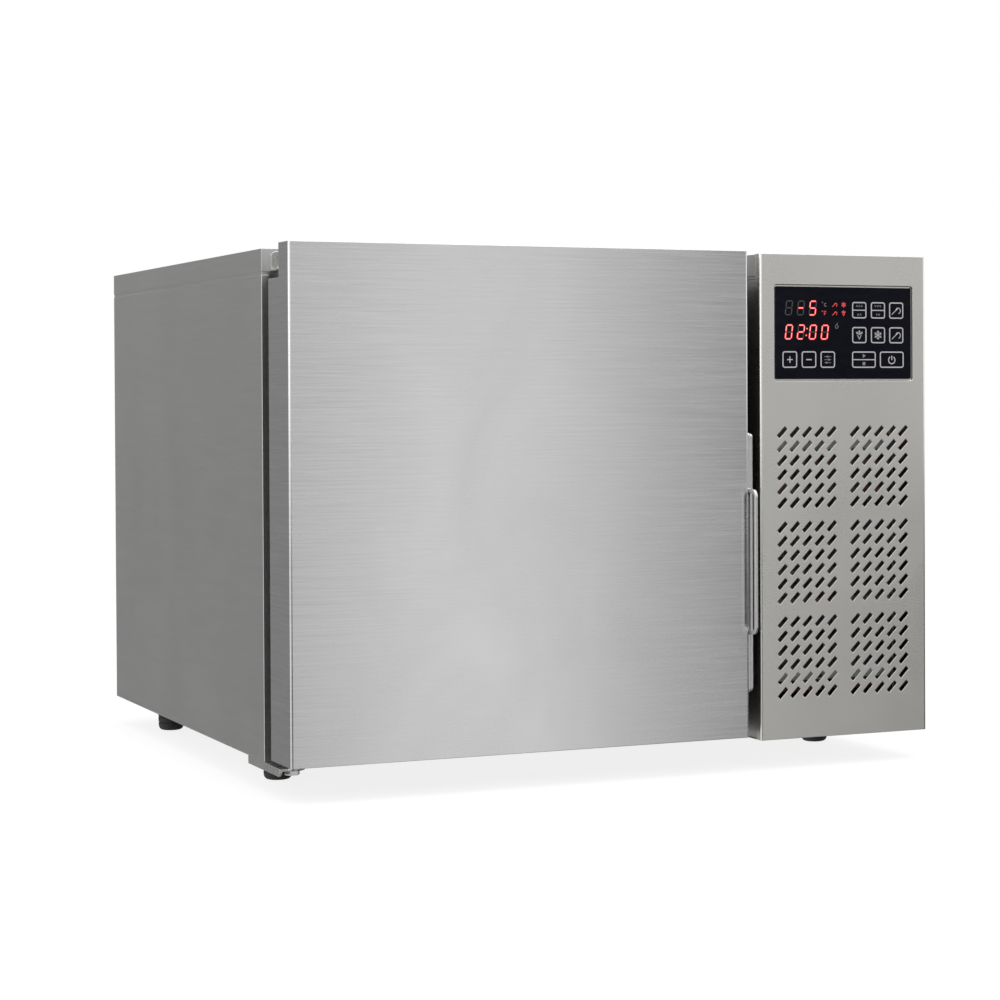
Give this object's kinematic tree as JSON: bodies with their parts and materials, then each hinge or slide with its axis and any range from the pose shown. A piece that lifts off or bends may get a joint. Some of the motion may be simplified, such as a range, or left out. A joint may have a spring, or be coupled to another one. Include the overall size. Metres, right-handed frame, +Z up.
{
  "type": "countertop blast chiller",
  "caption": "Countertop blast chiller: insulated stainless cabinet with a side-hinged door, tray rails, fan evaporator, and a machine side with glass control panel and slanted vents.",
  "frame": {"origin": "centre of the footprint on the floor, under the middle of the overall box, handle included", "axes": "+Z up; the door and the control panel face -Y; +X to the right of someone facing the door"},
  "size_m": [0.63, 0.635, 0.48],
  "materials": {
    "casing_steel": "brushed, fine horizontal grain",
    "bezel_steel": "satin",
    "inner_steel": "satin",
    "galvanised": "dull zinc",
    "frame_plastic": "matte",
    "foam": "rigid foam",
    "gasket": "soft satin",
    "foot_rubber": "matte",
    "hinge_steel": "satin",
    "pin_steel": "polished",
    "bush_plastic": "acetal",
    "screw_steel": "plated",
    "handle_steel": "polished",
    "panel_glass": "gloss black, printed from behind",
    "display_plastic": "matte",
    "board": "solder mask",
    "grey_plastic": "matte",
    "black_plastic": "matte",
    "fin_aluminium": "bare foil",
    "copper": "bare copper",
    "compressor_paint": "black enamel",
    "magnet": "sintered"
  },
  "bodies": {
    "cabinet": {"base_pan": "casing_steel", "left_side_panel": "casing_steel", "right_side_panel": "casing_steel", "top_cover": "casing_steel", "rear_panel": "casing_steel", "rear_service_panel": "casing_steel", "rear_panel_screws": "screw_steel", "machine_side_wall": "casing_steel", "front_bezel": "bezel_steel", "front_frame": "frame_plastic", "insulation": "foam", "inner_liner": "inner_steel", "drain_fitting": "grey_plastic", "foot_front_left": "foot_rubber", "foot_front_right": "foot_rubber", "foot_rear_left": "foot_rubber", "foot_rear_right": "foot_rubber", "foot_screws": "screw_steel", "rack_left": "inner_steel", "rack_right": "inner_steel", "evaporator_cover": "inner_steel", "fan_guard": "screw_steel", "evaporator_fan_motor": "grey_plastic", "evaporator_fan_bracket": "galvanised", "evaporator_fins": "fin_aluminium", "evaporator_tubes": "copper", "evaporator_tray": "inner_steel", "air_sensor": "pin_steel", "upper_hinge_bracket": "hinge_steel", "lower_hinge_bracket": "hinge_steel", "upper_hinge_pin": "pin_steel", "lower_hinge_pin": "pin_steel", "hinge_washers": "frame_plastic", "hinge_screws": "screw_steel", "control_glass": "panel_glass", "display_module": "display_plastic", "control_board": "board", "electrical_box": "grey_plastic", "reed_switch": "black_plastic", "condenser_frame": "galvanised", "condenser_fins": "fin_aluminium", "condenser_tubes": "copper", "condenser_fan_motor": "grey_plastic", "compressor": "compressor_paint", "compressor_mounts": "foot_rubber", "filter_drier": "copper", "refrigerant_pipes": "copper", "cable_bushing": "black_plastic"},
    "door": {"door_skin": "casing_steel", "door_foam": "foam", "door_liner": "inner_steel", "door_gasket": "gasket", "handle_grip": "handle_steel", "handle_strip": "handle_steel", "handle_screws": "screw_steel", "upper_hinge_bush": "bush_plastic", "lower_hinge_bush": "bush_plastic", "door_magnet": "magnet"},
    "evaporator_fan": {"evaporator_fan_blade": "black_plastic"},
    "condenser_fan": {"condenser_fan_blade": "black_plastic"}
  },
  "joints": [
    {"name": "door_hinge", "type": "hinge", "parent": "cabinet", "child": "door", "pos_m": [-0.301, -0.2625, 0.255], "axis": [0, 0, -1], "range_deg": [0, 110]},
    {"name": "evaporator_fan_spin", "type": "hinge", "parent": "cabinet", "child": "evaporator_fan", "pos_m": [-0.0925, 0.1765, 0.2545], "axis": [0, 1, 0], "continuous": true},
    {"name": "condenser_fan_spin", "type": "hinge", "parent": "cabinet", "child": "condenser_fan", "pos_m": [0.2245, -0.2265, 0.1911], "axis": [0, 1, 0], "continuous": true}
  ]
}
